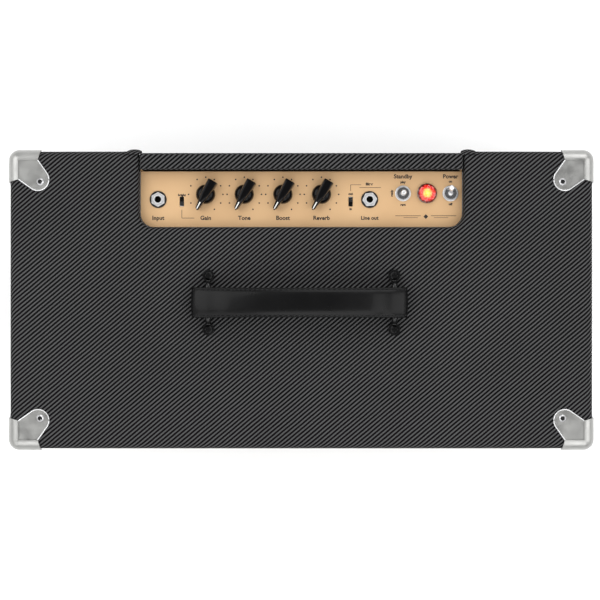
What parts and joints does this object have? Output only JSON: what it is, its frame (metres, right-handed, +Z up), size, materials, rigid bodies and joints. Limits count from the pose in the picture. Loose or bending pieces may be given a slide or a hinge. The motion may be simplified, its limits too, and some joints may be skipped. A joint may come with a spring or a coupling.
{
  "type": "guitar amplifier head",
  "caption": "Valve guitar amplifier head in striped woven covering, with metal corners, a strap handle and a recessed top control panel.",
  "frame": {"origin": "on the surface that the feet stand on, at the middle of the cabinet", "axes": "+X to the player's right, +Y to the rear, +Z up; the front faces -Y"},
  "size_m": [0.5766, 0.2952, 0.283],
  "materials": {
    "pine": "sawn softwood",
    "tweed": "black and grey diagonal-striped woven covering",
    "grille_cloth": "open woven cloth",
    "piping": "cream piping",
    "chrome": "bright chrome plate",
    "screw_steel": "nickelled screws",
    "leather": "black stitched leather",
    "black_metal": "black enamel",
    "rubber": "moulded rubber",
    "gold_plate": "brushed gold anodised plate",
    "chassis_steel": "zinc plated sheet",
    "knob_black": "polished black",
    "shaft_steel": "turned",
    "component": "plated cans",
    "slider_white": "moulded white",
    "switch_black": "moulded phenolic",
    "jewel": "faceted red jewel, lit",
    "valve_glass": "clear glass",
    "socket": "brown phenolic",
    "transformer": "black enamelled iron",
    "board": "component board",
    "capacitor": "sleeved cans",
    "tray_steel": "pressed tray",
    "spring_steel": "wire"
  },
  "bodies": {
    "cabinet": {"top_board": "pine", "bottom_board": "pine", "side_board_left": "pine", "side_board_right": "pine", "cabinet_covering": "tweed", "cabinet_cleats": "pine", "front_baffle": "pine", "grille_cloth": "grille_cloth", "grille_piping": "piping", "upper_back_panel": "pine", "lower_back_panel": "pine", "back_panel_coverings": "tweed", "top_corners": "chrome", "bottom_corners": "chrome", "corner_screws": "screw_steel", "rubber_feet": "rubber", "foot_screws": "screw_steel", "panel_screws": "screw_steel", "handle_brackets": "black_metal", "handle_screws": "black_metal", "faceplate": "gold_plate", "chassis": "chassis_steel", "chassis_screws": "screw_steel", "potentiometers": "component", "panel_jacks": "switch_black", "speaker_jacks": "switch_black", "bushing_nuts": "chrome", "jack_washers": "switch_black", "toggle_switches": "component", "toggle_nuts": "chrome", "slide_switches": "switch_black", "pilot_holder": "chrome", "pilot_jewel": "jewel", "preamp_valves": "valve_glass", "power_valves": "valve_glass", "valve_sockets": "socket", "power_transformer": "transformer", "output_transformer": "transformer", "circuit_board": "board", "filter_capacitors": "capacitor", "mains_inlet": "switch_black", "fuse_holder": "switch_black", "reverb_tank": "tray_steel", "reverb_hangers": "spring_steel"},
    "gain_control": {"gain_knob": "knob_black", "gain_pot_shaft": "shaft_steel"},
    "tone_control": {"tone_knob": "knob_black", "tone_pot_shaft": "shaft_steel"},
    "boost_control": {"boost_knob": "knob_black", "boost_pot_shaft": "shaft_steel"},
    "reverb_control": {"reverb_knob": "knob_black", "reverb_pot_shaft": "shaft_steel"},
    "power_lever_body": {"power_lever": "chrome"},
    "standby_lever_body": {"standby_lever": "chrome"},
    "bright_slider_body": {"bright_slider": "slider_white"},
    "filter_slider_body": {"filter_slider": "slider_white"},
    "strap": {"handle_strap": "leather"},
    "fuse_cap_body": {"fuse_cap": "switch_black"},
    "reverb_float": {"reverb_channel": "tray_steel", "reverb_springs": "spring_steel"}
  },
  "joints": [
    {"name": "gain_turn", "type": "hinge", "parent": "cabinet", "child": "gain_control", "pos_m": [-0.0944, 0.1043, 0.2364], "axis": [0, 0, -1], "range_deg": [0, 300]},
    {"name": "tone_turn", "type": "hinge", "parent": "cabinet", "child": "tone_control", "pos_m": [-0.0563, 0.1043, 0.2364], "axis": [0, 0, -1], "range_deg": [0, 300]},
    {"name": "boost_turn", "type": "hinge", "parent": "cabinet", "child": "boost_control", "pos_m": [-0.0182, 0.1043, 0.2364], "axis": [0, 0, -1], "range_deg": [0, 300]},
    {"name": "reverb_turn", "type": "hinge", "parent": "cabinet", "child": "reverb_control", "pos_m": [0.0199, 0.1043, 0.2364], "axis": [0, 0, -1], "range_deg": [0, 300]},
    {"name": "power_throw", "type": "hinge", "parent": "cabinet", "child": "power_lever_body", "pos_m": [0.1473, 0.1053, 0.2386], "axis": [1, 0, 0], "range_deg": [0, 34.6]},
    {"name": "standby_throw", "type": "hinge", "parent": "cabinet", "child": "standby_lever_body", "pos_m": [0.1004, 0.1053, 0.2386], "axis": [1, 0, 0], "range_deg": [-17.3, 17.3]},
    {"name": "bright_slide", "type": "slide", "parent": "cabinet", "child": "bright_slider_body", "axis": [0, 1, 0], "range_m": [0, 0.0046]},
    {"name": "filter_slide", "type": "slide", "parent": "cabinet", "child": "filter_slider_body", "axis": [0, -1, 0], "range_m": [0, 0.0046]},
    {"name": "handle_lift", "type": "slide", "parent": "cabinet", "child": "strap", "axis": [0, 0, 1], "range_m": [0, 0.0045]},
    {"name": "fuse_cap_turn", "type": "hinge", "parent": "cabinet", "child": "fuse_cap_body", "pos_m": [0.048, 0.062, 0.166], "axis": [0, 0, -1], "range_deg": [0, 60]},
    {"name": "reverb_bounce", "type": "slide", "parent": "cabinet", "child": "reverb_float", "axis": [0, 0, 1], "range_m": [-0.003, 0.003], "stiffness_N_per_m": 2500, "springref_m": 0.00224, "deforming": ["reverb_hangers"]}
  ]
}
